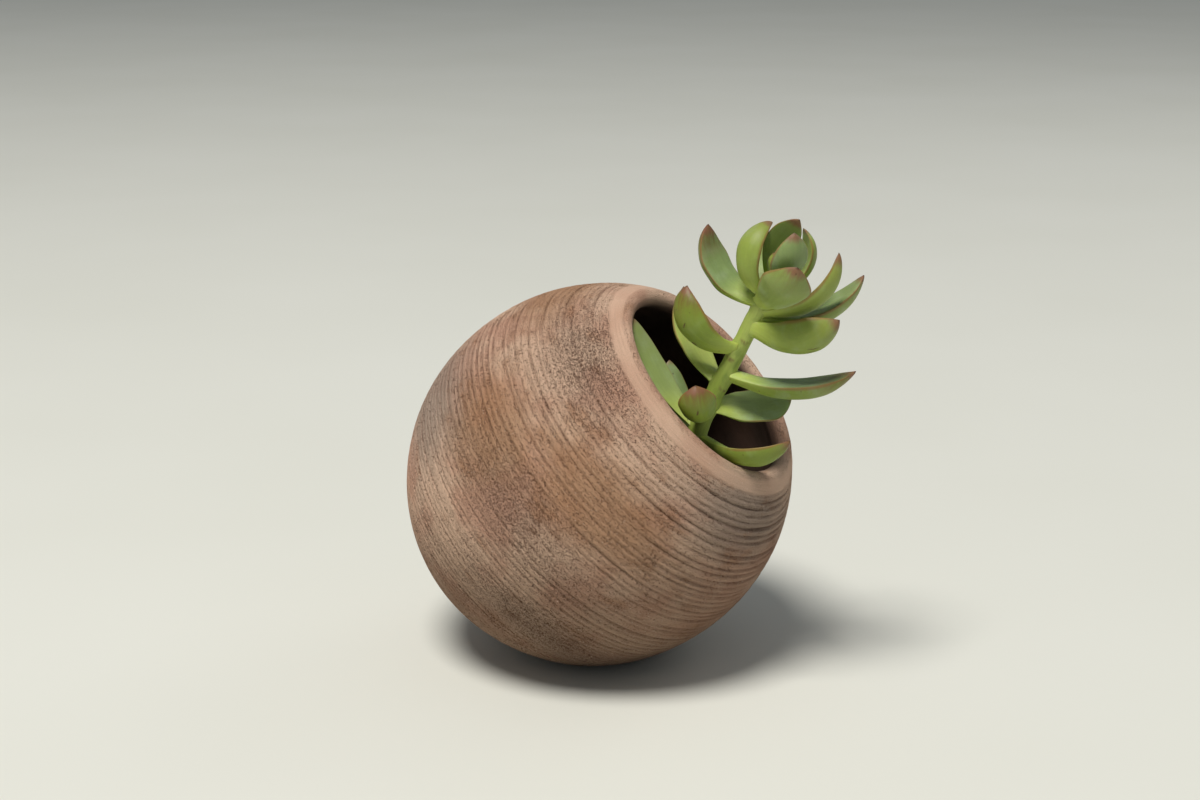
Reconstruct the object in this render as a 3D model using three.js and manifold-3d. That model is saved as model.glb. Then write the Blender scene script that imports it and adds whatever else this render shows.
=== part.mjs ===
// A small succulent with thick pointed leaves on a bare stem, growing out of a hollow clay
// ball pot that lies tipped over on a small ground flat.
// Millimetres, +Z up. The origin is the middle of the ground flat, and the pot leans towards +X.
import * as THREE from 'three';
import { mergeVertices } from 'three/addons/utils/BufferGeometryUtils.js';
import Module from 'manifold-3d';

const wasm = await Module();
wasm.setup();

const degree = Math.PI / 180;
const gap = 0.3; // clearance between pieces that touch

// The pot: a ball of clay, slightly longer than wide, open at one end.
const potTilt = 47.5 * degree; // its own axis, from upright towards +X
const potRadius = 49; // at its widest, square to its own axis
const potHalfLength = 51.4; // along its own axis, if the ball were whole
const wall = 4.8;
const mouthHeight = 39; // from the ball's middle to the mouth, along the axis
const footRadius = 13; // the flat that it rests on
const potSides = 52;

// The soil: fills the ball to just under its middle, level, with a low dome.
const soilLevel = -5; // from the ball's middle
const soilDome = 3.5; // how far its middle stands above its edge
const soilReach = 46; // from the ball's middle out to its edge
const soilSides = 36;
const outside = 60; // past the ball all round, for the solids that cut it

// The stem: points from the middle of the ball, up through the mouth, in X, Y, Z.
const stemRoute = [
  [18, -8, -16], [23, -11, -5], [28, -14.5, 6], [31.5, -15.5, 16], [34, -14.5, 23], [37, -13, 31],
  [40.5, -12, 37.5], [43, -11.5, 43], [45, -11.5, 48], [47.2, -11.4, 52], [51.3, -10.6, 57.5],
];
const stemRootRadius = 2.7;
const stemTipRadius = 1.5;
const stemSides = 12;
const stemSteps = 26;

// Every leaf: how far along the stem it grows from, the compass bearing that it grows to and its
// rise above level (degrees), how far it curls up by its tip, how far it is rolled about its own
// length, and its length, width and thickness.
const leaves = {
  leaf_inside_mouth: {
    from: 33, bearing: 128, rise: 42, curl: 24, roll: 0, long: 24, wide: 8, thick: 3.4,
  },
  leaf_left_low: {
    from: 41, bearing: 165, rise: 38, curl: 28, roll: 0, long: 30, wide: 9, thick: 3.6,
  },
  leaf_over_lip: {
    from: 38, bearing: 0, rise: -24, curl: 60, roll: -25, long: 23, wide: 9, thick: 4.2,
  },
  leaf_right_back: {
    from: 47, bearing: 42, rise: -12, curl: 26, roll: 35, long: 20, wide: 11, thick: 4,
  },
  leaf_front_small: {
    from: 44.5, bearing: -84, rise: 16, curl: 60, roll: 20, long: 13.5, wide: 9.5, thick: 4.4,
  },
  leaf_left_back: {
    from: 53, bearing: 148, rise: 29, curl: 58, roll: 0, long: 25, wide: 9.5, thick: 3.8,
  },
  leaf_right_long: {
    from: 56, bearing: 15, rise: -15, curl: 38, roll: 0, long: 30, wide: 10, thick: 4.8,
  },
  leaf_left_front: {
    from: 62, bearing: -150, rise: 12, curl: 86, roll: 35, long: 21, wide: 10.5, thick: 4.4,
  },
  leaf_right_broad: {
    from: 69, bearing: 0, rise: -14, curl: 50, roll: -50, long: 21.5, wide: 11, thick: 6.2,
  },
  leaf_right_upper: {
    from: 71.6, bearing: 38, rise: -8, curl: 54, roll: 0, long: 29, wide: 9, thick: 4.8,
  },
  leaf_right_slim: {
    from: 74.5, bearing: 12, rise: 4, curl: 74, roll: -10, long: 24, wide: 8.5, thick: 4.2,
  },
  leaf_left_high: {
    from: 75, bearing: 175, rise: 18, curl: 72, roll: -20, long: 23, wide: 8.8, thick: 5,
  },
  leaf_crown_front: {
    from: 76.7, bearing: -46, rise: 24, curl: 22, roll: -30, long: 20, wide: 12, thick: 4.6,
  },
  leaf_crown_back: {
    from: 77, bearing: 95, rise: 28, curl: 60, roll: 0, long: 17, wide: 8.5, thick: 3.8,
  },
  leaf_bud_left: {
    from: 78, bearing: 232, rise: 33, curl: 130, roll: 0, long: 21, wide: 8.5, thick: 3.6,
  },
  leaf_bud_back: {
    from: 82, bearing: 165, rise: 88, curl: 55, roll: -45, long: 17, wide: 8.2, thick: 3,
  },
  leaf_bud_right: {
    from: 81, bearing: 40, rise: 22, curl: 95, roll: 0, long: 17, wide: 7, thick: 3,
  },
  leaf_bud_front: {
    from: 82, bearing: -50, rise: 36, curl: 42, roll: 0, long: 17, wide: 9, thick: 3.4,
  },
  leaf_bud_heart: {
    from: 82.3, bearing: -80, rise: 60, curl: 20, roll: 0, long: 7.5, wide: 3.4, thick: 2.4,
  },
};
const leafSides = 12;
const leafRings = 12;
const leafWidest = 0.6; // along the leaf, as a share of its length
const leafFoot = 0.5; // width at its foot, as a share of its full width
const leafBlunt = 0.06; // how soon its foot reaches that width
const leafUpper = 0.22; // the share of its thickness above its middle line, on its flatter side

const clay = new THREE.MeshStandardMaterial({ color: 0xb5886b, roughness: 0.95, metalness: 0 });
const earth = new THREE.MeshStandardMaterial({ color: 0x3a2c22, roughness: 1, metalness: 0 });
const stalk = new THREE.MeshStandardMaterial({ color: 0x8a9c40, roughness: 0.6, metalness: 0 });
const foliage = new THREE.MeshStandardMaterial({ color: 0x7b9455, roughness: 0.5, metalness: 0 });

function solidFrom(geometry) {
  const bare = geometry.clone();
  bare.deleteAttribute('normal');
  bare.deleteAttribute('uv');
  const merged = mergeVertices(bare, 1e-4);
  return new wasm.Manifold(new wasm.Mesh({
    numProp: 3,
    vertProperties: Float32Array.from(merged.attributes.position.array),
    triVerts: Uint32Array.from(merged.index.array),
  }));
}

function geometryFrom(solid) {
  const mesh = solid.getMesh();
  const geometry = new THREE.BufferGeometry();
  geometry.setAttribute('position', new THREE.BufferAttribute(mesh.vertProperties, 3));
  geometry.setIndex(new THREE.BufferAttribute(mesh.triVerts, 1));
  geometry.computeVertexNormals();
  return geometry;
}

function closedSkin(geometry) {
  geometry.deleteAttribute('normal');
  geometry.deleteAttribute('uv');
  const skin = mergeVertices(geometry, 1e-4);
  skin.computeVertexNormals();
  return skin;
}

const inward = wall / 2;
const lipRadius = wall / 2;

// A point of an ellipse about the pot's axis, inset from the outside by some distance.
// The angle runs from 0 at the mouth's pole to PI at the far pole.
function ballPoint(inset, angle) {
  return new THREE.Vector2(
    (potRadius - inset) * Math.sin(angle),
    (potHalfLength - inset) * Math.cos(angle),
  );
}

const mouthAngle = Math.acos(mouthHeight / (potHalfLength - inward));

// Closed outline of the pot's wall: up the outside, round the lip and down the inside.
function potProfile() {
  const outline = [];
  const outsideSteps = 22;
  const lipSteps = 5;
  const insideSteps = 14;
  for (let i = 0; i <= outsideSteps; i += 1) {
    const angle = Math.PI + (mouthAngle - Math.PI) * (i / outsideSteps);
    outline.push(ballPoint(0, angle));
  }
  const lipMiddle = ballPoint(inward, mouthAngle);
  const outerEnd = ballPoint(0, mouthAngle);
  const startTurn = Math.atan2(outerEnd.y - lipMiddle.y, outerEnd.x - lipMiddle.x);
  for (let i = 1; i < lipSteps; i += 1) {
    const turn = startTurn + Math.PI * (i / lipSteps);
    outline.push(new THREE.Vector2(
      lipMiddle.x + lipRadius * Math.cos(turn),
      lipMiddle.y + lipRadius * Math.sin(turn),
    ));
  }
  for (let i = 0; i <= insideSteps; i += 1) {
    const angle = mouthAngle + (Math.PI - mouthAngle) * (i / insideSteps);
    outline.push(ballPoint(wall, angle));
  }
  outline[0].x = 0;
  outline[outline.length - 1].x = 0;
  return outline;
}

// From upright about Y to the tipped pot's axis, with the ball's middle at the origin.
function tip(geometry) {
  return geometry.rotateX(90 * degree).rotateY(potTilt);
}

// Height of the ball's middle when the ground flat has the radius that was asked for.
const lowest = Math.hypot(potHalfLength * Math.cos(potTilt), potRadius * Math.sin(potTilt));
const middleHeight = lowest * Math.sqrt(1 - (footRadius / potRadius) ** 2);
const stretch = (potHalfLength ** 2 - potRadius ** 2) * Math.sin(potTilt) * Math.cos(potTilt);
const middleX = stretch * middleHeight / lowest ** 2;
const ballMiddle = new THREE.Vector3(middleX, 0, middleHeight);

function makePot() {
  const ball = tip(new THREE.LatheGeometry(potProfile(), potSides));
  ball.translate(ballMiddle.x, ballMiddle.y, ballMiddle.z);
  const below = new THREE.BoxGeometry(outside, outside, outside).translate(0, 0, -outside / 2);
  const cut = solidFrom(ball).subtract(solidFrom(below));
  return new THREE.Mesh(geometryFrom(cut), clay);
}

// The stem's middle line, in the part's own place.
const stemLine = new THREE.CatmullRomCurve3(
  stemRoute.map(([x, y, z]) => new THREE.Vector3(x, y, z).add(ballMiddle)),
);

const stemLength = stemLine.getLength();

function stemRadius(at) {
  return stemRootRadius + (stemTipRadius - stemRootRadius) * at;
}

// A round rod along the stem's line, with flat ends: spread widens it.
function stemRod(spread) {
  const rod = new THREE.CylinderGeometry(1, 1, 1, stemSides, stemSteps);
  const position = rod.attributes.position;
  const point = new THREE.Vector3();
  for (let i = 0; i < position.count; i += 1) {
    point.fromBufferAttribute(position, i);
    const at = point.y + 0.5;
    const along = stemLine.getTangentAt(at);
    const side = new THREE.Vector3(0, 1, 0).cross(along).normalize();
    const back = new THREE.Vector3().crossVectors(side, along);
    const radius = stemRadius(at) + spread;
    const place = stemLine.getPointAt(at)
      .addScaledVector(side, point.x * radius)
      .addScaledVector(back, point.z * radius);
    position.setXYZ(i, place.x, place.y, place.z);
  }
  return rod;
}

function makeStem() {
  return new THREE.Mesh(closedSkin(stemRod(0)), stalk);
}

// The soil: the inside of the ball, less a clearance, cut by a level dome and the stem's hole.
function makeSoil() {
  const fill = [];
  const fillSteps = 14;
  for (let i = 0; i <= fillSteps; i += 1) {
    fill.push(ballPoint(wall + gap, Math.PI - Math.PI * (i / fillSteps)));
  }
  fill[0].x = 0;
  fill[fillSteps].x = 0;
  const inside = tip(new THREE.LatheGeometry(fill, soilSides));
  const dome = [new THREE.Vector2(0, -outside), new THREE.Vector2(outside, -outside)];
  const domeSteps = 6;
  for (let i = 0; i <= domeSteps; i += 1) {
    const out = outside * (1 - i / domeSteps);
    dome.push(new THREE.Vector2(out, soilLevel + soilDome * (1 - (out / soilReach) ** 2)));
  }
  dome[dome.length - 1].x = 0;
  const under = new THREE.LatheGeometry(dome, soilSides).rotateX(90 * degree);
  const earthBody = solidFrom(inside).intersect(solidFrom(under));
  const placed = geometryFrom(earthBody).translate(ballMiddle.x, ballMiddle.y, ballMiddle.z);
  const drilled = solidFrom(placed).subtract(solidFrom(stemRod(gap)));
  return new THREE.Mesh(geometryFrom(drilled), earth);
}

// How wide a leaf is along its length, as a share of its full width: a narrow foot, widest
// past the middle, then a point.
function leafOutline(along) {
  if (along < leafWidest) {
    const blunt = Math.sqrt(1 - (1 - Math.min(1, along / leafBlunt)) ** 2);
    return blunt * (leafFoot + (1 - leafFoot) * Math.sin(90 * degree * along / leafWidest));
  }
  return 1 - ((along - leafWidest) / (1 - leafWidest)) ** 2;
}

function makeLeaf(leaf) {
  const bearing = leaf.bearing * degree;
  const rise = leaf.rise * degree;
  const curl = leaf.curl * degree;
  const outward = new THREE.Vector3(Math.cos(bearing), Math.sin(bearing), 0);
  const upward = new THREE.Vector3(0, 0, 1);
  const start = outward.clone().multiplyScalar(Math.cos(rise))
    .addScaledVector(upward, Math.sin(rise));
  const at = Math.min(1, leaf.from / stemLength);
  const stemAlong = stemLine.getTangentAt(at);
  const away = start.clone().addScaledVector(stemAlong, -start.dot(stemAlong)).normalize();
  const foot = stemLine.getPointAt(at).addScaledVector(away, stemRadius(at) + gap);

  const skin = new THREE.SphereGeometry(1, leafSides, leafRings);
  const position = skin.attributes.position;
  const point = new THREE.Vector3();
  for (let i = 0; i < position.count; i += 1) {
    point.fromBufferAttribute(position, i);
    const along = (1 - point.y) / 2;
    const ring = Math.sqrt(Math.max(1e-9, 1 - point.y ** 2));
    const pitch = rise + curl * along;
    const reach = leaf.long * (Math.sin(pitch) - Math.sin(rise)) / curl;
    const climb = leaf.long * (Math.cos(rise) - Math.cos(pitch)) / curl;
    const forward = outward.clone().multiplyScalar(Math.cos(pitch))
      .addScaledVector(upward, Math.sin(pitch));
    const face = outward.clone().multiplyScalar(-Math.sin(pitch))
      .addScaledVector(upward, Math.cos(pitch));
    face.applyAxisAngle(forward, leaf.roll * degree);
    const side = new THREE.Vector3().crossVectors(face, forward);
    const share = leafOutline(along);
    const across = share * leaf.wide / 2 * (point.x / ring);
    const depth = point.z > 0 ? leafUpper : 1 - leafUpper;
    const through = share * leaf.thick * depth * (point.z / ring);
    const place = foot.clone()
      .addScaledVector(outward, reach)
      .addScaledVector(upward, climb)
      .addScaledVector(side, across)
      .addScaledVector(face, through);
    position.setXYZ(i, place.x, place.y, place.z);
  }
  return new THREE.Mesh(closedSkin(skin), foliage);
}

const plant = new THREE.Group();
function add(name, mesh) {
  mesh.name = name;
  plant.add(mesh);
}

add('pot', makePot());
add('soil', makeSoil());
add('stem', makeStem());
for (const [name, leaf] of Object.entries(leaves)) {
  add(name, makeLeaf(leaf));
}

export default plant;
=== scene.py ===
import math
import random

import bpy
import numpy as np
from mathutils import Matrix, Vector, noise
from mathutils.kdtree import KDTree


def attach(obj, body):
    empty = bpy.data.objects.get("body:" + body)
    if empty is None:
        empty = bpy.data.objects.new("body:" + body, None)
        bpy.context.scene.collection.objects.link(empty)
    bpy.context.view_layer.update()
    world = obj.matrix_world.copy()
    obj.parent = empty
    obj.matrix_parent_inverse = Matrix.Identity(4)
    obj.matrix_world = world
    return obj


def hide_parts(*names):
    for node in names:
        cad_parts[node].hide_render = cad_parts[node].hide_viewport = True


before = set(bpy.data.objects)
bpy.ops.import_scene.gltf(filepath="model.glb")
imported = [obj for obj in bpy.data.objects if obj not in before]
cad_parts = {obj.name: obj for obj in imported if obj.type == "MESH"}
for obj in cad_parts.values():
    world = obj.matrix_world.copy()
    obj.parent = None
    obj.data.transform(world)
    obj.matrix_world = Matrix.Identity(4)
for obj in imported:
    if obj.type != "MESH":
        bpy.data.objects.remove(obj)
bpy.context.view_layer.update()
mm = 0.001
print("frame loaded:", len(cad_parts), "nodes")


def startClean():
    if bpy.context.mode != "OBJECT":
        bpy.ops.object.mode_set(mode="OBJECT")
    bpy.ops.object.select_all(action="DESELECT")


def workOn(piece):
    startClean()
    piece.select_set(True)
    bpy.context.view_layer.objects.active = piece


def placesOf(piece):
    flat = np.empty(len(piece.data.vertices) * 3)
    piece.data.vertices.foreach_get("co", flat)
    return flat.reshape(-1, 3)


def putPlaces(piece, places):
    piece.data.vertices.foreach_set("co", places.astype(np.float32).ravel())
    piece.data.update()


def writeOn(piece, name, values):  # a number or a vector on every vertex, for the material
    values = np.asarray(values, np.float32)
    if values.ndim == 1:
        piece.data.attributes.new(name, "FLOAT", "POINT").data.foreach_set("value", values)
    else:
        layer = piece.data.attributes.new(name, "FLOAT_VECTOR", "POINT")
        layer.data.foreach_set("vector", values.ravel())


def smoothStep(value, low, high):
    share = np.clip((value - low) / (high - low), 0, 1)
    return share * share * (3 - 2 * share)


def unit(vectors):
    return vectors / np.linalg.norm(vectors, axis=-1, keepdims=True)


def wobble(places, scale, seed):  # smooth noise from about -1 to 1 at every place
    shift = Vector((seed * 7.31, seed * 3.77, seed * 5.13))
    return np.array([noise.noise(Vector(p) * scale + shift) for p in places]) * 1.6


def finishPiece(piece, name, material, nodes):
    piece.name = piece.data.name = name
    piece.data.materials.clear()
    piece.data.materials.append(material)
    workOn(piece)
    bpy.ops.object.shade_smooth()
    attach(piece, "root")
    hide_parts(*nodes)
    return piece


def paint(text):  # a screen colour such as "c8a890" as scene colour
    parts = [int(text[i:i + 2], 16) / 255 for i in (0, 2, 4)]
    return [p / 12.92 if p < 0.04045 else ((p + 0.055) / 1.055) ** 2.4 for p in parts] + [1]


class Wire:  # a socket that can be added, multiplied and so on
    def __init__(self, finish, socket):
        self.finish, self.socket = finish, socket

    def __add__(self, other):
        return self.finish.maths("ADD", self, other)

    def __sub__(self, other):
        return self.finish.maths("SUBTRACT", self, other)

    def __rsub__(self, other):
        return self.finish.maths("SUBTRACT", other, self)

    def __mul__(self, other):
        return self.finish.maths("MULTIPLY", self, other)

    def __truediv__(self, other):
        return self.finish.maths("DIVIDE", self, other)

    __radd__ = __add__
    __rmul__ = __mul__


class Finish:  # one material, its shader and the nodes that feed it
    def __init__(self, name):
        self.material = bpy.data.materials.new(name)
        self.material.use_nodes = True
        self.tree = self.material.node_tree
        self.shader = self.tree.nodes["Principled BSDF"]

    def node(self, kind, settings=None, values=None, out=0):
        made = self.tree.nodes.new(kind)
        for name, value in (settings or {}).items():
            setattr(made, name, value)
        for name, value in (values or {}).items():
            if isinstance(value, Wire):
                self.tree.links.new(value.socket, made.inputs[name])
            else:
                made.inputs[name].default_value = value
        return Wire(self, made.outputs[out])

    def maths(self, operation, first, second):
        return self.node("ShaderNodeMath", {"operation": operation}, {0: first, 1: second})

    def read(self, name, out=2):  # 2 reads a number, 1 a vector
        return self.node("ShaderNodeAttribute", {"attribute_name": name}, out=out)

    def stretch(self, vector, scale, shift=(0, 0, 0)):
        return self.node("ShaderNodeMapping", {}, {0: vector, "Scale": scale, "Location": shift})

    def noise(self, vector, scale, detail=2.0, rough=0.5):
        return self.node("ShaderNodeTexNoise", {},
                         {"Vector": vector, "Scale": scale, "Detail": detail, "Roughness": rough})

    def between(self, value, low, high):  # 0 at low, 1 at high and smooth in between
        return self.node("ShaderNodeMapRange", {"interpolation_type": "SMOOTHSTEP"},
                         {"Value": value, "From Min": low, "From Max": high})

    def blend(self, first, second, share):
        return self.node("ShaderNodeMix", {"data_type": "RGBA"}, {0: share, 6: first, 7: second}, 2)

    def tone(self, colour, share):  # makes a colour lighter or darker
        return self.node("ShaderNodeVectorMath", {"operation": "SCALE"},
                         {0: colour, "Scale": share})

    def shake(self, vector, scale, amount):  # moves a pattern about, so that no edge is neat
        wild = self.node("ShaderNodeTexNoise", {}, {"Vector": vector, "Scale": scale}, 1)
        centred = self.node("ShaderNodeVectorMath", {"operation": "SUBTRACT"},
                            {0: wild, 1: (0.5, 0.5, 0.5)})
        grown = self.node("ShaderNodeVectorMath", {"operation": "SCALE"},
                          {0: centred, "Scale": amount})
        return self.node("ShaderNodeVectorMath", {}, {0: vector, 1: grown})

    def cells(self, vector, scale):  # distance to the nearest seed and that seed's own number
        made = self.tree.nodes.new("ShaderNodeTexVoronoi")
        self.tree.links.new(vector.socket, made.inputs["Vector"])
        made.inputs["Scale"].default_value = scale
        own = self.node("ShaderNodeSeparateColor", {}, {0: Wire(self, made.outputs["Color"])})
        return Wire(self, made.outputs["Distance"]), own

    def finish(self, colour, roughness, height=None, constants=None):
        self.tree.links.new(colour.socket, self.shader.inputs["Base Color"])
        if isinstance(roughness, Wire):
            self.tree.links.new(roughness.socket, self.shader.inputs["Roughness"])
        else:
            self.shader.inputs["Roughness"].default_value = roughness
        if height is not None:  # height is in millimetres
            bump = self.node("ShaderNodeBump", {},
                             {"Height": height, "Distance": mm, "Strength": 1.0})
            self.tree.links.new(bump.socket, self.shader.inputs["Normal"])
        for name, value in (constants or {}).items():
            self.shader.inputs[name].default_value = value
        return self.material


view = {
    "ballMiddle": (0.00231, 0.0, 0.04831),
    "azimuth": 22.5, "dip": 15.38, "lens": 60.0,
    "away": 0.522, "raised": 0.0193, "aside": 0.0003, "sensor": 36, "nearest": 0.01,
}


def makeCamera():
    turn, dip = math.radians(view["azimuth"]), math.radians(view["dip"])
    right = Vector((math.cos(turn), math.sin(turn), 0))
    forward = Vector((-math.sin(turn) * math.cos(dip), math.cos(turn) * math.cos(dip),
                      -math.sin(dip)))
    upward = right.cross(forward)
    spot = (Vector(view["ballMiddle"]) - forward * view["away"] + upward * view["raised"]
            + right * view["aside"])
    camera = bpy.data.objects.new("camera", bpy.data.cameras.new("camera"))
    camera.data.lens, camera.data.sensor_width = view["lens"], view["sensor"]
    camera.data.clip_start = view["nearest"]
    axes = Matrix((right, upward, -forward)).transposed().to_4x4()
    camera.matrix_world = Matrix.Translation(spot) @ axes
    bpy.context.scene.collection.objects.link(camera)
    bpy.context.scene.camera = camera


studio = {
    "floorColour": "e6e7df", "floorWarm": "dfe0d6", "floorHalf": 3.0,
    "floorRough": 0.8, "floorShine": 0.15, "mottleScale": 6.0, "backColour": (1, 1, 1),
    "keyFrom": (-0.04, -0.42, 0.91), "keyAway": 2.6, "keySize": 0.95, "keyPower": 64.0,
    "keyColour": (1.0, 0.965, 0.92),
    "backFrom": (0.5, 0.75, 0.55), "backAway": 1.4, "backSize": 0.9, "backPower": 1.2,
    "skyColour": (0.86, 0.93, 1.0, 1), "skyStrength": 0.2,
}


def addLamp(name, toward, away, size, power, colour):
    lamp = bpy.data.objects.new(name, bpy.data.lights.new(name, "AREA"))
    lamp.data.shape, lamp.data.size, lamp.data.energy = "DISK", size, power
    lamp.data.color = colour
    direction = Vector(toward).normalized()
    lamp.location = Vector(view["ballMiddle"]) + direction * away
    lamp.rotation_euler = direction.to_track_quat("Z", "Y").to_euler()
    bpy.context.scene.collection.objects.link(lamp)


def makeStudio():
    startClean()
    bpy.ops.mesh.primitive_plane_add(size=2 * studio["floorHalf"], location=(0, 0, 0))
    floor = bpy.context.object
    floor.name = "floor"
    look = Finish("plain floor")
    spot = look.node("ShaderNodeTexCoord", out=3)
    mottle = look.noise(spot, studio["mottleScale"])
    tint = look.blend(paint(studio["floorColour"]), paint(studio["floorWarm"]), mottle)
    floor.data.materials.append(look.finish(tint, studio["floorRough"], None,
                                            {"Specular IOR Level": studio["floorShine"]}))
    addLamp("key", studio["keyFrom"], studio["keyAway"], studio["keySize"],
            studio["keyPower"], studio["keyColour"])
    addLamp("back", studio["backFrom"], studio["backAway"], studio["backSize"],
            studio["backPower"], studio["backColour"])
    sky = bpy.data.worlds.new("sky")
    sky.use_nodes = True
    sky.node_tree.nodes["Background"].inputs["Color"].default_value = studio["skyColour"]
    sky.node_tree.nodes["Background"].inputs["Strength"].default_value = studio["skyStrength"]
    bpy.context.scene.world = sky
    bpy.context.scene.view_settings.view_transform = "Standard"


makeCamera()
makeStudio()
print("camera, floor and lights set")


pot = {
    "tilt": 47.5, "radius": 49.0, "halfLength": 51.4, "wall": 4.8, "mouthHeight": 39.0,
    "outsideSteps": 330, "lipSteps": 14, "insideSteps": 44, "turnSteps": 236,
    "lipBand": 3.6,  # smooth clay round the mouth
    "lineGap": (1.45, 2.15), "lineDepth": (0.24, 0.5), "lineWidth": (0.24, 0.38),
    "fineGap": (0.55, 1.1), "fineDepth": (0.03, 0.1), "fineWidth": 0.2,
    "wander": 0.4, "ripple": 0.1,  # how far the lines stray from a true circle
    "tears": 2200, "tearDepth": (0.14, 0.45), "tearLong": (0.9, 2.2), "tearHigh": (0.34, 0.55),
    "tearAnywhere": 0.05, "tearGritty": 0.95, "tearPatch": 0.28,
    "lump": 0.22, "grit": 0.07, "bandLump": 0.05, "insideLine": 0.12, "seed": 4,
    # soft zones: turn and half turn in degrees, distance from the mouth and half of it in mm
    "gritty": [(-127, 12, 24, 10), (-97, 46, 26, 9), (-60, 66, 30, 7), (70, 30, 34, 12),
               (150, 55, 30, 10), (20, 80, 40, 10)],
    "ochre": [(-82, 28, 34, 12), (-120, 40, 22, 14), (60, 45, 60, 14), (175, 20, 40, 12)],
    "grey": [(-28, 10, 38, 14), (-150, 58, 30, 20), (95, 12, 40, 9), (-20, 70, 40, 14)],
}


def potProfile():  # distance from the axis and height along it, from the far pole to the lip
    wall, mouth = pot["wall"], math.acos(pot["mouthHeight"] / (pot["halfLength"] - pot["wall"] / 2))

    def ellipse(inset, angle):
        return np.stack([(pot["radius"] - inset) * np.sin(angle),
                         (pot["halfLength"] - inset) * np.cos(angle)], -1)

    outer = ellipse(0, np.linspace(math.pi, mouth, pot["outsideSteps"]))
    middle = ellipse(wall / 2, mouth)
    first = math.atan2(*(outer[-1] - middle)[::-1])
    turns = first + math.pi * np.arange(1, pot["lipSteps"]) / pot["lipSteps"]
    lip = middle + wall / 2 * np.stack([np.cos(turns), np.sin(turns)], -1)
    inner = ellipse(wall, np.linspace(mouth, math.pi, pot["insideSteps"]))
    return np.concatenate([outer, lip, inner])


def spinPot(profile):
    startClean()
    bpy.ops.mesh.primitive_circle_add(vertices=len(profile), radius=pot["radius"] * mm)
    piece = bpy.context.object
    putPlaces(piece, np.stack([profile[:, 0], 0 * profile[:, 0], profile[:, 1]], -1) * mm)
    last = len(profile) - 1
    for edge in piece.data.edges:  # the edge along the axis, between the two poles
        edge.select = set(edge.vertices) == {0, last}
    for vertex in piece.data.vertices:
        vertex.select = vertex.index in (0, last)
    bpy.ops.object.mode_set(mode="EDIT")
    bpy.ops.mesh.select_mode(type="EDGE")
    bpy.ops.mesh.delete(type="EDGE")
    bpy.ops.mesh.select_mode(type="VERT")
    bpy.ops.mesh.select_all(action="SELECT")
    bpy.ops.mesh.spin(steps=pot["turnSteps"], angle=2 * math.pi, center=(0, 0, 0),
                      axis=(0, 0, 1))
    bpy.ops.mesh.select_all(action="SELECT")
    bpy.ops.mesh.remove_doubles(threshold=1e-6)
    bpy.ops.mesh.normals_make_consistent(inside=False)
    bpy.ops.object.mode_set(mode="OBJECT")
    return piece


def zoneOf(zones, turn, down):
    total = np.zeros(len(turn))
    for middleTurn, middleDown, halfTurn, halfDown in zones:
        aside = (turn - middleTurn + 180) % 360 - 180
        total = np.maximum(total, np.exp(-(aside / halfTurn) ** 2
                                         - ((down - middleDown) / halfDown) ** 2))
    return total


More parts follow.
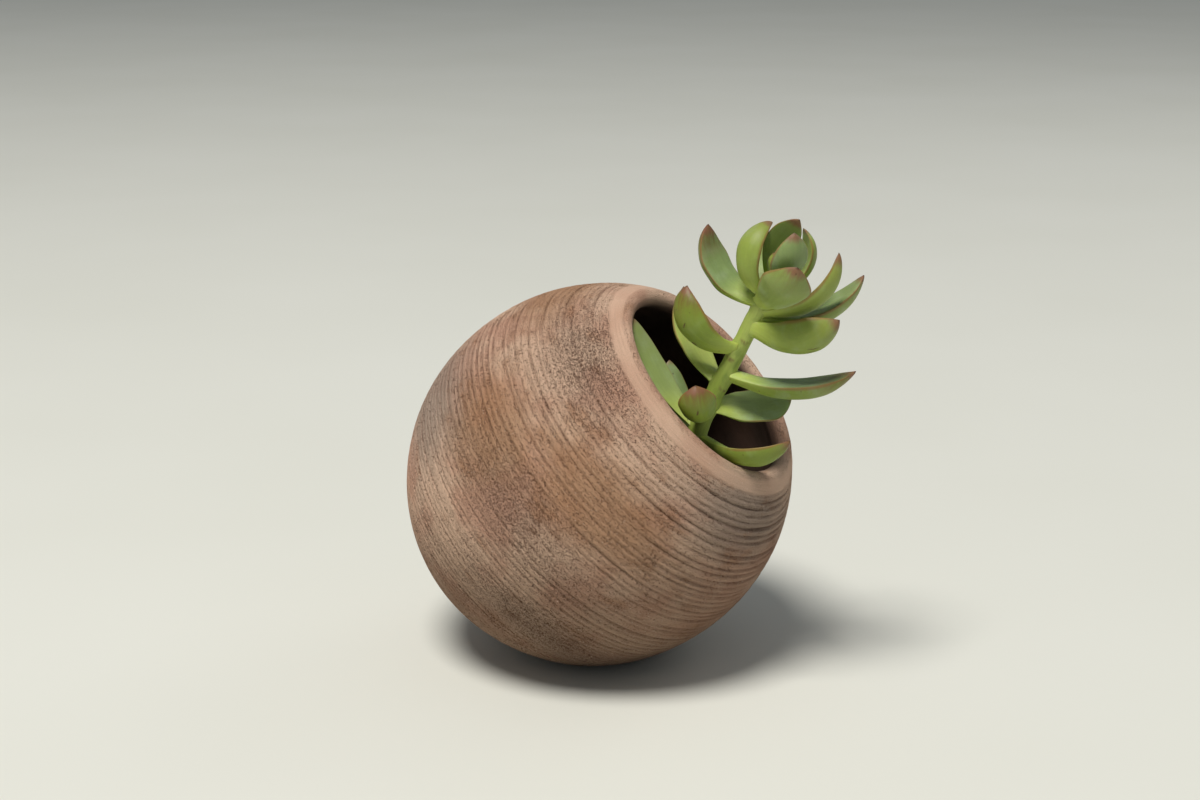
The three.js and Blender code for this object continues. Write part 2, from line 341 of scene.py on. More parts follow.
def makePot():
    dice = random.Random(pot["seed"])
    profile = potProfile()
    piece = spinPot(profile)
    places = placesOf(piece) / mm
    away = np.hypot(places[:, 0], places[:, 1])
    tree = KDTree(len(profile))
    for i, (out, up) in enumerate(profile):
        tree.insert((out, up, 0), i)
    tree.balance()
    station = np.array([tree.find((a, z, 0))[1] for a, z in zip(away, places[:, 2])])
    tangent = np.gradient(profile, axis=0)
    normal = unit(np.stack([tangent[:, 1], -tangent[:, 0]], -1))
    normal[0], normal[-1] = (0, -1), (0, 1)
    turn = np.degrees(np.arctan2(places[:, 1], places[:, 0]))
    steps = np.concatenate([[0], np.cumsum(np.linalg.norm(np.diff(profile, axis=0), axis=1))])
    rim = steps[pot["outsideSteps"] - 1]
    down = rim - steps[station]  # distance from the lip down the outside, below 0 inside
    outside = smoothStep(down, -0.5, 0.6)
    lie = np.stack([places[:, 0], places[:, 1], down], -1)
    rings = np.stack([20 * np.cos(np.radians(turn)), 20 * np.sin(np.radians(turn)), down], -1)

    gritty = zoneOf(pot["gritty"], turn, down) * outside
    grey = zoneOf(pot["grey"], turn, down)
    wander = (wobble(rings * (1, 1, 0), 0.05, 1) * pot["wander"]
              + wobble(rings * (0.1, 0.1, 0.2), 1, 2) * pot["ripple"])
    level = down + wander
    fadeFirst = wobble(rings * (0.06, 0.06, 0.5), 1, 3)
    fadeSecond = wobble(rings * (0.25, 0.25, 1.1), 1, 4)
    bandEdge = smoothStep(down, pot["lipBand"] - 0.5, pot["lipBand"] + 0.9)

    groove = np.zeros(len(down))
    at = pot["lipBand"] + 0.5
    while at < rim:
        depth, width = dice.uniform(*pot["lineDepth"]), dice.uniform(*pot["lineWidth"])
        ring = np.exp(-((level - at) / width) ** 2)
        groove = np.maximum(groove, ring * depth)
        at += dice.uniform(*pot["lineGap"])
    strength = np.clip(0.75 + 0.55 * fadeFirst + 0.3 * fadeSecond, 0.12, 1.5)
    groove = groove * strength * (1 - 0.7 * gritty) * (1 + 0.7 * grey)
    fine = np.zeros(len(down))
    at = pot["lipBand"]
    while at < rim:
        ring = np.exp(-((level + 0.2 * wander - at) / pot["fineWidth"]) ** 2)
        fine = np.maximum(fine, ring * dice.uniform(*pot["fineDepth"]))
        at += dice.uniform(*pot["fineGap"])
    relief = -(groove + fine * (1 - 0.5 * gritty)) * bandEdge * outside

    tear = np.zeros(len(down))
    onOutside = np.nonzero((down > pot["lipBand"] + 0.3) & (away > 2))[0]
    patch = np.clip(wobble(lie * (0.08, 0.08, 0.35), 1, 6), 0, 1)
    chance = pot["tearAnywhere"] + pot["tearGritty"] * gritty + pot["tearPatch"] * patch
    order = np.argsort(steps[station])
    sortedSteps = steps[station][order]
    made = 0
    while made < pot["tears"]:
        spot = dice.choice(onOutside)
        if dice.random() > chance[spot]:
            continue
        made += 1
        long, high = dice.uniform(*pot["tearLong"]), dice.uniform(*pot["tearHigh"])
        depth = dice.uniform(*pot["tearDepth"])
        here = steps[station[spot]]
        low, top = np.searchsorted(sortedSteps, (here - high, here + high))
        near = order[low:top]
        aside = np.radians((turn[near] - turn[spot] + 180) % 360 - 180) * away[near]
        far = (aside / long) ** 2 + ((steps[station[near]] - here) / high) ** 2
        tear[near] = np.maximum(tear[near], depth * np.clip(1 - far, 0, 1))
    rough = wobble(lie * (0.5, 0.5, 0.9), 1, 8)
    relief -= tear * outside * (0.55 + 0.45 * gritty)
    relief += pot["grit"] * rough * gritty
    relief += pot["lump"] * wobble(places, 0.035, 9)
    inside = smoothStep(-down, 2.0, 6.0)
    relief += inside * pot["insideLine"] * np.sin(down * 1.3 + 2 * wander)
    relief += pot["bandLump"] * wobble(lie * (0.3, 0.3, 0.3), 1, 11) * (1 - bandEdge)

    places[:, 0] += relief * normal[station, 0] * np.cos(np.radians(turn))
    places[:, 1] += relief * normal[station, 0] * np.sin(np.radians(turn))
    places[:, 2] += relief * normal[station, 1]
    tilt = math.radians(pot["tilt"])
    middle = np.array(view["ballMiddle"]) / mm
    lying = np.stack([places[:, 0] * math.cos(tilt) + places[:, 2] * math.sin(tilt),
                      places[:, 1],
                      places[:, 2] * math.cos(tilt) - places[:, 0] * math.sin(tilt)], -1)
    lying += middle
    lying[:, 2] = np.maximum(lying[:, 2], 0)  # the ground flat
    putPlaces(piece, lying * mm)
    writeOn(piece, "lie", lie)
    writeOn(piece, "rings", rings)
    writeOn(piece, "groove", np.clip((groove * 2.6 + fine * 4) * bandEdge, 0, 1))
    writeOn(piece, "tear", np.clip(tear * 2.4, 0, 1))
    writeOn(piece, "gritty", gritty)
    writeOn(piece, "ochre", zoneOf(pot["ochre"], turn, down))
    writeOn(piece, "grey", grey)
    writeOn(piece, "inside", inside)
    writeOn(piece, "band", (1 - bandEdge) * outside)
    return piece


clay = {
    "pale": "d9b79d", "pink": "c69c84", "ochre": "ab805c", "grey": "9d8c7e", "warm": "b5825f",
    # the dark line, pit and inside colours are painted shade in the grooves, in the pits and inside
    # the pot
    "paintedGrooveShade": "6d4b38", "paintedPitShade": "64412e", "speck": "e6d2bf", "paintedInsideShade": "2a1b13",
    # the low colour is painted shade, laid on the clay towards the floor
    "band": "cfac94", "low": "6b523c",
}


def clayFinish():
    look = Finish("turned gritty clay")
    lie, rings = look.read("lie", 1), look.read("rings", 1)
    groove, tear, gritty = look.read("groove"), look.read("tear"), look.read("gritty")
    ochre, grey = look.read("ochre"), look.read("grey")
    inside, band = look.read("inside"), look.read("band")
    rising = look.node("ShaderNodeSeparateXYZ", {}, {0: look.node("ShaderNodeTexCoord", out=3)}, 2)
    cloud = look.noise(lie, 0.06, 3.0)
    cloudSecond = look.noise(look.stretch(lie, (1, 1, 2), (40, 7, 3)), 0.11, 3.0)
    streak = look.noise(look.stretch(rings, (0.13, 0.13, 2.1)), 1.0, 4.0, 0.6)
    hair = look.noise(look.stretch(rings, (0.3, 0.3, 5.5)), 1.0, 2.0, 0.5)
    grain = look.noise(lie, 3.6, 3.0, 0.65)
    colour = look.blend(paint(clay["pink"]), paint(clay["pale"]), look.between(cloud, 0.36, 0.6))
    colour = look.blend(colour, paint(clay["ochre"]),
                        look.between(ochre + cloudSecond * 0.7, 0.45, 1.25) * 0.75)
    colour = look.blend(colour, paint(clay["grey"]),
                        look.between(grey + cloud * 0.5, 0.4, 1.3) * 0.85)
    colour = look.blend(colour, paint(clay["warm"]), look.between(cloudSecond, 0.56, 0.75) * 0.4)
    # painted shade: the clay turns dark brown towards the floor, where the underside of the pot lies
    # in shade
    colour = look.blend(colour, paint(clay["low"]), look.between(rising, 0.062, 0.006) * 0.72)
    colour = look.blend(colour, paint(clay["band"]), band * 0.6)
    colour = look.tone(colour, 0.8 + 0.26 * streak + 0.14 * hair)
    # painted shade: the turned grooves are painted darker, as if shade lay in them
    colour = look.blend(colour, paint(clay["paintedGrooveShade"]),
                        groove * look.between(streak, 0.8, 0.3) * 0.42)

    share = gritty * 0.75 + groove * 0.5 + look.between(cloudSecond, 0.46, 0.7) * 0.3
    torn = look.noise(look.stretch(lie, (1, 1, 1.6)), 2.1, 4.0, 0.7)
    closed = (1 - band) * (1 - inside)
    hole = look.between(torn - share * 0.1, 0.42, 0.34) * closed
    wild = look.shake(look.stretch(lie, (1.1, 1.1, 1.8), (9, 4, 1)), 2.2, 0.5)
    distance, own = look.cells(wild, 2.1)
    chosen = look.between(own + share * 0.45, 0.62, 0.85)
    dot = look.between(distance, 0.42, 0.2) * chosen * closed
    speckDistance, speckOwn = look.cells(look.stretch(lie, (1, 1, 1.2), (3, 30, 5)), 1.6)
    speck = look.between(speckDistance, 0.3, 0.12) * look.between(speckOwn, 0.78, 0.86)
    colour = look.blend(colour, paint(clay["speck"]), speck * 0.45)
    pits = look.between(hole * 0.7 + dot * 0.7 + tear * 0.4, 0.1, 0.95)
    # painted shade: the pits and tears are painted dark brown, as if shade lay in them
    colour = look.blend(colour, paint(clay["paintedPitShade"]), pits * 0.72)
    colour = look.tone(colour, 0.76 + 0.52 * grain)
    # painted shade: the inside of the pot is painted very dark brown, as the shade inside it looks
    colour = look.blend(colour, paint(clay["paintedInsideShade"]), inside * (0.78 + 0.3 * cloud))
    height = (0.2 * streak + 0.14 * hair + (0.22 + 0.25 * gritty) * grain - 0.5 * hole
              - 0.4 * dot - 0.15 * groove + 0.1 * speck)
    return look.finish(colour, 0.88 + 0.1 * pits, height, {"Specular IOR Level": 0.25})


potPiece = finishPiece(makePot(), "clay_pot", clayFinish(), ["pot"])
print("pot turned:", len(potPiece.data.polygons), "faces")


soil = {"grain": 1.1, "lump": 1.0, "crumb": 0.45, "crumbs": 420, "crumbSize": (0.5, 1.7),
        "reach": 38.0, "seed": 11,
        "level": 0.0465, "topFrom": 41.0, "topFull": 43.0, "settle": 0.4,  # level in metres
        "paleShare": 0.12, "sunk": 0.25, "uneven": 0.22}


def makeSoil():
    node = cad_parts["soil"]
    startClean()
    piece = node.copy()
    piece.data = node.data.copy()
    for key in list(piece.keys()):
        del piece[key]
    piece.parent = None
    bpy.context.scene.collection.objects.link(piece)
    workOn(piece)
    bpy.ops.object.mode_set(mode="EDIT")
    bpy.ops.mesh.select_all(action="SELECT")
    bpy.ops.mesh.remove_doubles(threshold=1e-6)
    bpy.ops.object.mode_set(mode="OBJECT")
    fine = piece.modifiers.new("even", "REMESH")
    fine.mode, fine.voxel_size = "VOXEL", soil["grain"] * mm
    bpy.ops.object.modifier_apply(modifier="even")
    places = placesOf(piece) / mm
    top = smoothStep(places[:, 2], soil["topFrom"], soil["topFull"])
    places[:, 2] += top * (soil["lump"] * wobble(places, 0.16, 1)
                           + soil["crumb"] * wobble(places, 0.7, 2) - soil["settle"])
    putPlaces(piece, places * mm)
    return piece


def addCrumbs(ground):
    dice = random.Random(soil["seed"])
    startClean()
    bpy.ops.mesh.primitive_ico_sphere_add(subdivisions=2, radius=1, location=(0, 0, 0))
    blank = bpy.context.object
    shape = placesOf(blank)
    made = [blank]
    tree = KDTree(len(ground.data.vertices))
    for i, vertex in enumerate(ground.data.vertices):
        tree.insert((vertex.co.x, vertex.co.y, vertex.co.z), i)
    tree.balance()
    for i in range(soil["crumbs"]):
        out, way = soil["reach"] * math.sqrt(dice.random()), dice.uniform(0, 2 * math.pi)
        x, y = view["ballMiddle"][0] + out * mm * math.cos(way), out * mm * math.sin(way)
        found = tree.find((x, y, soil["level"]))[0]
        size = dice.uniform(*soil["crumbSize"]) * dice.uniform(0.6, 1)
        stretch = np.array([dice.uniform(0.7, 1.2), dice.uniform(0.7, 1.2), dice.uniform(0.5, 0.9)])
        rough = 1 + soil["uneven"] * wobble(shape, 1.6, i)
        lump = shape * rough[:, None] * stretch * size
        spun = lump @ np.array(Matrix.Rotation(way * 3, 3, "Z"))
        crumb = blank if i == 0 else blank.copy()
        if i:
            crumb.data = blank.data.copy()
            bpy.context.scene.collection.objects.link(crumb)
            made.append(crumb)
        putPlaces(crumb, spun * mm + np.array([x, y, found[2] + soil["sunk"] * size * mm]))
        pale = dice.random() < soil["paleShare"]
        if i:
            crumb.data.attributes["pale"].data.foreach_set("value", [float(pale)] * len(shape))
        else:
            writeOn(crumb, "pale", [float(pale)] * len(shape))
    startClean()
    for crumb in made:
        crumb.select_set(True)
    bpy.context.view_layer.objects.active = blank
    bpy.ops.object.join()
    return blank


earth = {"dark": "1d130d", "brown": "4a3526", "damp": "6b5744", "pale": "a89c88",
         "grainScale": 900.0, "dampScale": 60.0}


def earthFinish():
    look = Finish("dark potting soil")
    spot = look.node("ShaderNodeTexCoord", out=3)
    grain = look.noise(spot, earth["grainScale"], 4.0, 0.65)
    damp = look.noise(spot, earth["dampScale"], 2.0)
    colour = look.blend(paint(earth["dark"]), paint(earth["brown"]),
                        look.between(grain, 0.35, 0.72))
    colour = look.blend(colour, paint(earth["damp"]), look.between(damp, 0.55, 0.75) * 0.4)
    colour = look.blend(colour, paint(earth["pale"]), look.read("pale") * (0.6 + 0.4 * grain))
    return look.finish(colour, 0.95, 0.5 * grain, {"Specular IOR Level": 0.2})


earthLook = earthFinish()
soilPiece = finishPiece(makeSoil(), "potting_soil", earthLook, ["soil"])
crumbPiece = addCrumbs(soilPiece)
finishPiece(crumbPiece, "soil_crumbs", earthLook, [])
print("soil laid:", len(soilPiece.data.polygons), "faces,", soil["crumbs"], "crumbs")


def ringsOf(node):  # rings of places from one end to the other
    startClean()
    copy = node.copy()
    copy.data = node.data.copy()
    bpy.context.scene.collection.objects.link(copy)
    copy.hide_viewport = False
    workOn(copy)
    bpy.ops.object.mode_set(mode="EDIT")
    bpy.ops.mesh.select_all(action="SELECT")
    bpy.ops.mesh.remove_doubles(threshold=1e-6)
    bpy.ops.object.mode_set(mode="OBJECT")
    places = placesOf(copy)
    near = [set() for _ in places]
    for edge in copy.data.edges:
        a, b = edge.vertices
        near[a].add(b)
        near[b].add(a)
    mesh = copy.data
    bpy.data.objects.remove(copy)
    bpy.data.meshes.remove(mesh)
    start = max(range(len(places)), key=lambda i: (len(near[i]), -i))
    level, seen, rings = {start}, {start}, []
    while level:
        rings.append(places[sorted(level)])
        level = set().union(*(near[i] for i in level)) - seen
        seen |= level
    return rings


stemRings = ringsOf(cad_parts["stem"])
if stemRings[0][0][2] > stemRings[-1][0][2]:
    stemRings.reverse()
stemLine = np.array([ring.mean(0) for ring in stemRings[1:-1]]) / mm
stemRun = np.concatenate([[0], np.cumsum(np.linalg.norm(np.diff(stemLine, axis=0), axis=1))])
stemFit = [np.polyfit(stemRun / stemRun[-1], stemLine[:, k], 8) for k in range(3)]


def onStem(run):
    return np.stack([np.polyval(fit, run / stemRun[-1]) for fit in stemFit], -1)


def guideOf(node):  # middle line, upper side, width, thickness and length of a CAD leaf
    rings = [ring / mm for ring in ringsOf(node)]
    ends = [np.linalg.norm(stemLine - ring[0], axis=1).min() for ring in (rings[0], rings[-1])]
    if ends[0] > ends[1]:
        rings.reverse()
    count = len(rings) - 1
    along = (1 - np.cos(np.pi * np.arange(count + 1) / count)) / 2
    middles, sides, widths = [rings[0][0]], [], []
    for ring in rings[1:-1]:
        spans = np.linalg.norm(ring[:, None] - ring[None], axis=2)
        i, j = np.unravel_index(spans.argmax(), spans.shape)
        middles.append((ring[i] + ring[j]) / 2)
        sides.append((ring[i] - ring[j]) / spans[i, j])
        widths.append(spans[i, j])
    middles = np.array(middles + [rings[-1][0]])
    ahead = unit(np.gradient(middles, along, axis=0))[1:-1]
    uppers, thicks = [], []
    for ring, middle, side, front in zip(rings[1:-1], middles[1:-1], sides, ahead):
        upper = np.cross(side, front)
        reach = (ring - middle) @ upper
        uppers.append(upper if reach.max() < -reach.min() else -upper)
        thicks.append(np.ptp(reach))
    line = [np.polyfit(along, middles[:, k], 4) for k in range(3)]
    upper = [np.polyfit(along[1:-1], np.array(uppers)[:, k], 3) for k in range(3)]
    fine = np.stack([np.polyval(f, np.linspace(0, 1, 60)) for f in line], -1)
    return {"line": line, "upper": upper, "wide": max(widths), "thick": max(thicks),
            "long": np.linalg.norm(np.diff(fine, axis=0), axis=1).sum(), "foot": middles[0]}


leafNames = [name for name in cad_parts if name.startswith("leaf_")]
guides = {name: guideOf(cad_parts[name]) for name in leafNames}
print("leaves read:", len(guides))


stem = {"sides": 30, "rings": 150, "root": 2.9, "tip": 1.9, "swell": 0.55, "swellLong": 1.5,
        "scars": [(22, 40), (26, 160), (30, -80), (36.5, -20), (39.5, 190), (44, 110),
                  (50.5, -95), (51.5, 40), (58.5, -60), (59.5, 100), (65, 60), (66.5, -110)],
        "scarRise": 0.16, "uneven": 0.09, "seed": 5}


def makeStem():
    startClean()
    bpy.ops.mesh.primitive_circle_add(vertices=stem["sides"], radius=1, fill_type="NGON")
    piece = bpy.context.object
    bpy.ops.object.mode_set(mode="EDIT")
    bpy.ops.mesh.select_all(action="SELECT")
    step = 1 / stem["rings"]
    for _ in range(stem["rings"]):
        bpy.ops.mesh.extrude_region_move(TRANSFORM_OT_translate={"value": (0, 0, step)})
    bpy.ops.mesh.select_all(action="SELECT")
    bpy.ops.mesh.normals_make_consistent(inside=False)
    bpy.ops.object.mode_set(mode="OBJECT")
    places = placesOf(piece)
    share = np.clip(places[:, 2], 0, 1)
    run = share * stemRun[-1]
    around = np.arctan2(places[:, 1], places[:, 0])
    middle = onStem(run)
    ahead = unit(onStem(run + 0.1) - onStem(run - 0.1))
    side = unit(np.cross((0, 1, 0), ahead))
    back = np.cross(side, ahead)
    outward = side * np.cos(around)[:, None] + back * np.sin(around)[:, None]
    thick = stem["root"] + (stem["tip"] - stem["root"]) * share
    swell = np.zeros(len(run))
    for guide in guides.values():  # the stem swells a little where each leaf grows from
        fine = np.linspace(0, stemRun[-1], 400)
        at = fine[np.linalg.norm(onStem(fine) - guide["foot"], axis=1).argmin()]
        away = unit(guide["foot"] - onStem(at))
        facing = np.clip(outward @ away, 0, 1) ** 1.5
        swell = np.maximum(swell, np.exp(-((run - at + 0.4) / stem["swellLong"]) ** 2) * facing)
    scar = np.zeros(len(run))
    for at, turn in stem["scars"]:
        aside = (np.degrees(around) - turn + 180) % 360 - 180
        aside = np.radians(aside) * thick
        bow = run - at - 0.25 * aside ** 2
        scar = np.maximum(scar, np.exp(-(bow / 0.42) ** 4 - (aside / 1.25) ** 4))
    radius = thick + stem["swell"] * swell + stem["scarRise"] * scar
    radius += stem["uneven"] * wobble(np.stack([run, around * 1.2, 0 * run], -1), 0.35, stem["seed"])
    radius *= np.sqrt(np.clip((stemRun[-1] + 0.05 - run) / 1.2, 0, 1))
    putPlaces(piece, (middle + outward * radius[:, None]) * mm)
    writeOn(piece, "run", run)
    writeOn(piece, "swell", swell)
    writeOn(piece, "scar", scar)
    writeOn(piece, "lie", np.stack([np.cos(around) * 2, np.sin(around) * 2, run], -1))
    return piece


stalk = {"root": "8f8348", "green": "8b9c40", "young": "aebc62", "shade": "6f8436",
         "swell": "b0ba6c", "scar": "6a4a30"}


def stalkFinish():
    look = Finish("green stalk")
    lie, run = look.read("lie", 1), look.read("run")
    scar, swell = look.read("scar"), look.read("swell")
    cloud = look.noise(look.stretch(lie, (1, 1, 0.5)), 0.5, 3.0)
    streak = look.noise(look.stretch(lie, (2.4, 2.4, 0.3)), 1.0, 3.0)
    colour = look.blend(paint(stalk["root"]), paint(stalk["green"]), look.between(run, 22, 36))
    colour = look.blend(colour, paint(stalk["young"]), look.between(run, 48, 72) * 0.8)
    colour = look.blend(colour, paint(stalk["shade"]), look.between(cloud, 0.5, 0.72) * 0.6)
    colour = look.blend(colour, paint(stalk["swell"]), swell * 0.35)
    colour = look.tone(colour, 0.86 + 0.28 * streak)
    colour = look.blend(colour, paint(stalk["scar"]), scar * look.between(streak, 0.75, 0.35) * 0.85)
    return look.finish(colour, 0.5 + 0.12 * cloud, 0.06 * streak + 0.05 * cloud,
                       {"Specular IOR Level": 0.4, "Subsurface Weight": 0.15,
                        "Subsurface Radius": (0.4, 0.8, 0.2), "Subsurface Scale": 0.002})


stemPiece = finishPiece(makeStem(), "green_stem", stalkFinish(), ["stem"])
print("stem grown:", len(stemPiece.data.polygons), "faces")


leafShape = {"sides": 44, "rings": 46, "neck": 1.4, "widest": 0.6, "foot": 0.5,
             "footThick": 0.66, "channel": 0.16, "keel": 0.06, "upper": 0.2, "spike": 0.15,
             "footUpper": 0.45, "wave": 0.14, "edgeWave": 0.05}

# blue, underBlue: how blue the upper and lower sides are, pale: yellowness,
# brown: length of the brown tip (mm),
# blush: reddish brown over the outer part, scratches: across, along, long, wide, turn
leafLooks = {
    "leaf_inside_mouth": {"blue": 0.7, "pale": 0.1, "brown": 0.8, "blush": 0.1},
    "leaf_left_low": {"blue": 0.55, "pale": 0.3, "brown": 1.2, "blush": 0.2},
    "leaf_over_lip": {"blue": 0.15, "pale": 0.0, "brown": 1.5, "blush": 0.35},
    "leaf_right_back": {"blue": 0.9, "pale": 0.3, "brown": 1.0, "blush": 0.0},
    "leaf_front_small": {"blue": 0.1, "pale": 0.0, "brown": 1.5, "blush": 1.0,
                         "scratches": [(-0.1, 0.62, 1.6, 0.25, 60)]},
    "leaf_left_back": {"blue": 0.1, "pale": 0.8, "brown": 1.2, "blush": 0.1},
    "leaf_right_long": {"blue": 0.8, "pale": 0.05, "brown": 1.8, "blush": 0.9},
    "leaf_left_front": {"blue": 0.0, "pale": 0.0, "brown": 1.6, "blush": 1.0,
                        "scratches": [(0.1, 0.6, 1.8, 0.2, 40), (-0.2, 0.38, 1.1, 0.8, 10)]},
    "leaf_right_broad": {"blue": 0.5, "pale": 0.2, "brown": 1.5, "blush": 0.3,
                         "scratches": [(0.1, 0.66, 3.2, 0.16, 62), (0.3, 0.62, 1.8, 0.12, 80)]},
    "leaf_right_upper": {"blue": 0.7, "pale": 0.1, "brown": 2.0, "blush": 0.25},
    "leaf_right_slim": {"blue": 0.2, "pale": 0.45, "brown": 2.2, "blush": 0.3},
    "leaf_left_high": {"blue": 0.7, "pale": 0.1, "brown": 2.4, "blush": 1.0},
    "leaf_crown_front": {"blue": 0.5, "underBlue": 0.4, "pale": 0.2, "brown": 1.6, "blush": 0.45},
    "leaf_crown_back": {"blue": 0.5, "pale": 0.3, "brown": 1.2, "blush": 0.2},
    "leaf_bud_left": {"blue": 0.4, "pale": 0.3, "brown": 2.2, "blush": 0.3},
    "leaf_bud_back": {"blue": 0.3, "pale": 0.2, "brown": 2.0, "blush": 0.2},
    "leaf_bud_right": {"blue": 0.3, "pale": 0.35, "brown": 1.2, "blush": 0.1},
    "leaf_bud_front": {"blue": 0.8, "underBlue": 0.75, "pale": 0.15, "brown": 1.6, "blush": 0.1},
    "leaf_bud_heart": {"blue": 0.3, "pale": 0.4, "brown": 0.5, "blush": 0.1},
}


def leafBlank():
    startClean()
    bpy.ops.mesh.primitive_uv_sphere_add(segments=leafShape["sides"], ring_count=leafShape["rings"],
                                         radius=1, location=(0, 0, 0))
    return bpy.context.object


def outline(along):  # half width and thickness, as shares of the leaf's own
    widest = leafShape["widest"]
    grow = np.sin(np.pi / 2 * np.clip(along / widest, 0, 1)) ** 1.15
    past = np.clip((along - widest) / (1 - widest), 0, 1)
    taper = np.clip(1 - past ** 2.1, 0, 1) ** 0.94
    spike = leafShape["spike"] * np.clip((1 - along) / 0.08, 0, 1)
    wide = np.where(along < widest, leafShape["foot"] + (1 - leafShape["foot"]) * grow,
                    np.maximum(taper, spike))
    thick = np.where(along < widest, leafShape["footThick"] + (1 - leafShape["footThick"]) * grow,
                     np.maximum(taper ** 0.85 * (1 - 0.18 * past), spike * 1.4))
    return wide, thick


def makeLeaf(blank, name, guide, index):
    piece = blank.copy()
    piece.data = blank.data.copy()
    bpy.context.scene.collection.objects.link(piece)
    ball = placesOf(piece)
    share = (ball[:, 2] + 1) / 2
    neck = leafShape["neck"] / guide["long"]
    along = share * (1 + neck) - neck
    ring = np.sqrt(np.clip(1 - ball[:, 2] ** 2, 1e-9, 1))
    across, lift = ball[:, 0] / ring, ball[:, 1] / ring
    tips = ring < 1e-4
    across[tips], lift[tips] = 0, 0
    wide, thick = outline(along)
    close = np.sqrt(np.clip(share / 0.012, 0, 1)) * np.sqrt(np.clip((1 - share) / 0.004, 0, 1))
    wide, thick = wide * close, thick * close

    inner = np.clip(along, 0, 1)
    line = np.stack([np.polyval(f, inner) for f in guide["line"]], -1)
    slope = np.stack([np.polyval(np.polyder(f), inner) for f in guide["line"]], -1)
    line += slope * (along - inner)[:, None]
    ahead = unit(slope)
    upper = np.stack([np.polyval(f, inner) for f in guide["upper"]], -1)
    upper = unit(upper - ahead * (upper * ahead).sum(1, keepdims=True))
    side = np.cross(upper, ahead)

    rounder = smoothStep(along, 0.35, -0.02)  # near its foot the leaf is a round stalk
    above = leafShape["upper"] * (1 - rounder) + leafShape["footUpper"] * rounder
    bowl = leafShape["channel"] * smoothStep(along, 0.02, 0.45) * smoothStep(along, 1.0, 0.75)
    flank = np.clip(1 - across ** 2, 0, 1)
    height = np.where(lift >= 0, above * flank ** 0.85 - bowl * flank ** 1.5,
                      (above - 1) * flank ** 0.7 - leafShape["keel"] * flank ** 4)
    lie = np.stack([across * wide, along * 3, lift * 0.4], -1)
    wave = leafShape["wave"] * wobble(lie, 1.4, index + 20) * np.clip(inner * 3, 0, 1)
    edgeWave = wobble(lie * (0, 1, 0), 1.6, index + 60) * np.sign(across)
    edgeWave *= leafShape["edgeWave"]
    depth = height * thick * guide["thick"] + wave
    spread = (across + edgeWave * (np.abs(across) > 0.5)) * wide * guide["wide"] / 2
    putPlaces(piece, (line + side * spread[:, None] + upper * depth[:, None]) * mm)
    writeOn(piece, "lie", np.stack([across * wide * guide["wide"] / 2, along * guide["long"],
                                    lift], -1))
    writeOn(piece, "across", across)
    writeOn(piece, "along", along)
    writeOn(piece, "upper", smoothStep(lift, -0.25, 0.25))
    return piece


leafPaint = {"blue": "7d9468", "green": "7f923c", "under": "7c8f2f", "pale": "b0bd62",
             "foot": "b0bf58", "brown": "865844", "tipDark": "4c2a1c", "blush": "6f5126",
             "margin": "8f6238", "scar": "5b3a22", "bloom": "a3b596"}


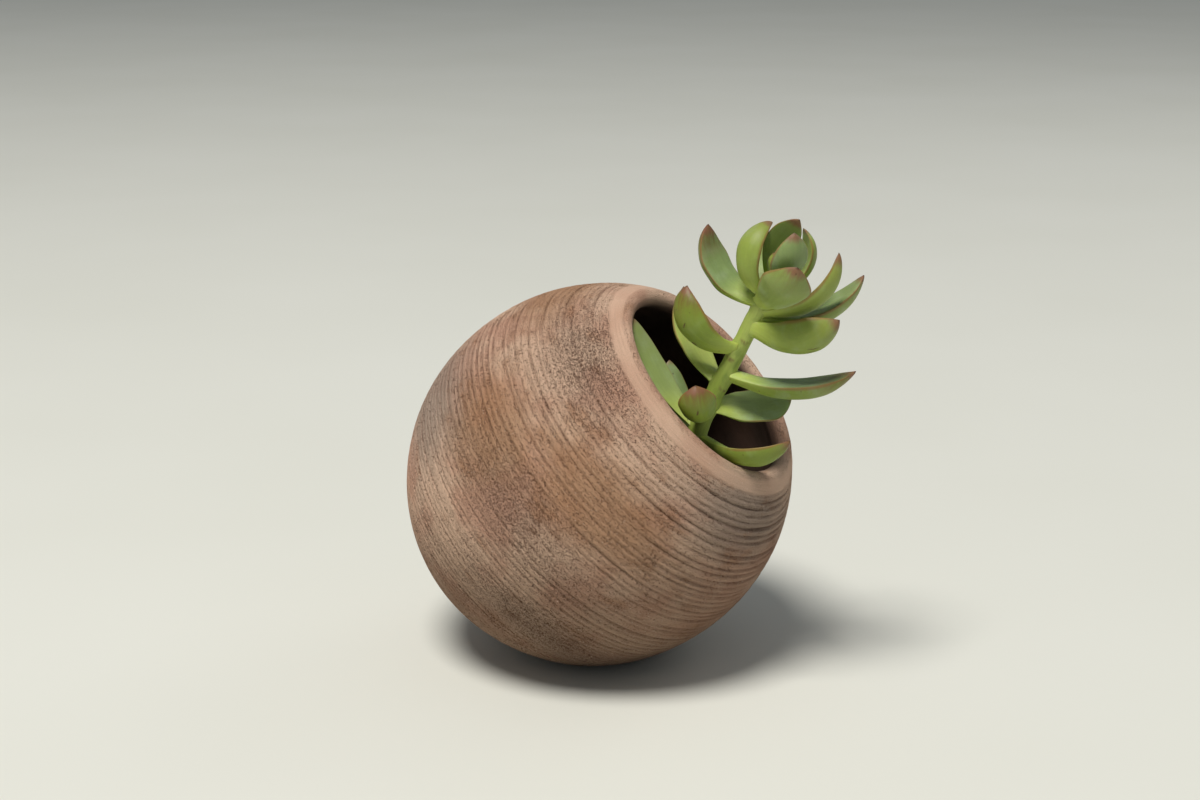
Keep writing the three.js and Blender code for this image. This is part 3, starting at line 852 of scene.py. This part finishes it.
def leafFinish(name, guide, index):
    own = leafLooks[name]
    look = Finish(name.replace("leaf_", "foliage "))
    lie = look.read("lie", 1)
    across, along, upper = look.read("across"), look.read("along"), look.read("upper")
    shifted = look.stretch(lie, (1, 1, 1), (index * 13.0, index * 5.0, index * 3.0))
    cloud = look.noise(shifted, 0.22, 3.0)
    vein = look.noise(look.stretch(shifted, (1.7, 0.16, 1.7)), 1.0, 3.0, 0.55)
    fleck = look.noise(shifted, 1.6, 3.0, 0.6)
    face = look.blend(paint(leafPaint["green"]), paint(leafPaint["blue"]), own["blue"])
    under = look.blend(paint(leafPaint["under"]), paint(leafPaint["blue"]),
                       own.get("underBlue", own["blue"] * 0.12))
    colour = look.blend(under, face, upper)
    colour = look.blend(colour, paint(leafPaint["pale"]), own["pale"])
    colour = look.blend(colour, paint(leafPaint["foot"]), look.between(along, 0.42, 0.0) * 0.85)
    colour = look.blend(colour, paint(leafPaint["bloom"]),
                        look.between(cloud, 0.46, 0.72) * (0.1 + 0.25 * own["blue"]))
    colour = look.tone(colour, 0.74 + 0.34 * vein + 0.24 * cloud)
    outer = look.between(along + 0.16 * vein, 0.62, 1.02)
    colour = look.blend(colour, paint(leafPaint["blush"]),
                        outer * look.between(cloud + vein, 0.6, 1.15) * own["blush"] * 0.8)
    edge = look.between(look.maths("ABSOLUTE", across, 0), 0.92, 0.99)
    colour = look.blend(colour, paint(leafPaint["margin"]),
                        edge * look.between(along, 0.1, 0.5) * 0.7)
    tipAt = 1 - own["brown"] / guide["long"]
    colour = look.blend(colour, paint(leafPaint["brown"]),
                        look.between(along + 0.07 * vein, tipAt - 0.02, tipAt + 0.075) * 0.85)
    colour = look.blend(colour, paint(leafPaint["tipDark"]), look.between(along, 0.975, 1.0))
    dotDistance, dotOwn = look.cells(shifted, 0.55)
    dots = look.between(dotDistance, 0.16, 0.08) * look.between(dotOwn, 0.86, 0.9)
    colour = look.blend(colour, paint(leafPaint["scar"]), dots * 0.55)
    height = 0.06 * vein + 0.04 * fleck + 0.08 * cloud - 0.04 * dots
    shaken = look.shake(lie, 0.9, 0.5)
    sidewaysAt = look.node("ShaderNodeSeparateXYZ", {}, {0: shaken})
    onwardAt = look.node("ShaderNodeSeparateXYZ", {}, {0: shaken}, 1)
    for sideways, onward, long, wide, turn in own.get("scratches", []):
        c, s = math.cos(math.radians(turn)), math.sin(math.radians(turn))
        u = sidewaysAt - sideways * guide["wide"] / 2
        v = onwardAt - onward * guide["long"]
        first, second = (u * c + v * s) / (long / 2), (v * c - u * s) / wide
        mark = look.between(first * first + second * second, 1.0, 0.35)
        colour = look.blend(colour, paint(leafPaint["scar"]), mark * 0.8)
        height = height - 0.08 * mark
    colour = look.tone(colour, 0.93 + 0.14 * fleck)
    return look.finish(colour, 0.36 + 0.18 * cloud + 0.1 * fleck, height,
                       {"Specular IOR Level": 0.42, "Subsurface Weight": 0.18,
                        "Subsurface Radius": (0.5, 0.9, 0.2), "Subsurface Scale": 0.0025})


blank = leafBlank()
for index, name in enumerate(leafNames):
    leaf = makeLeaf(blank, name, guides[name], index)
    finishPiece(leaf, name + "_grown", leafFinish(name, guides[name], index), [name])
bpy.data.objects.remove(blank)
print("leaves grown:", len(leafNames))


bpy.context.view_layer.update()
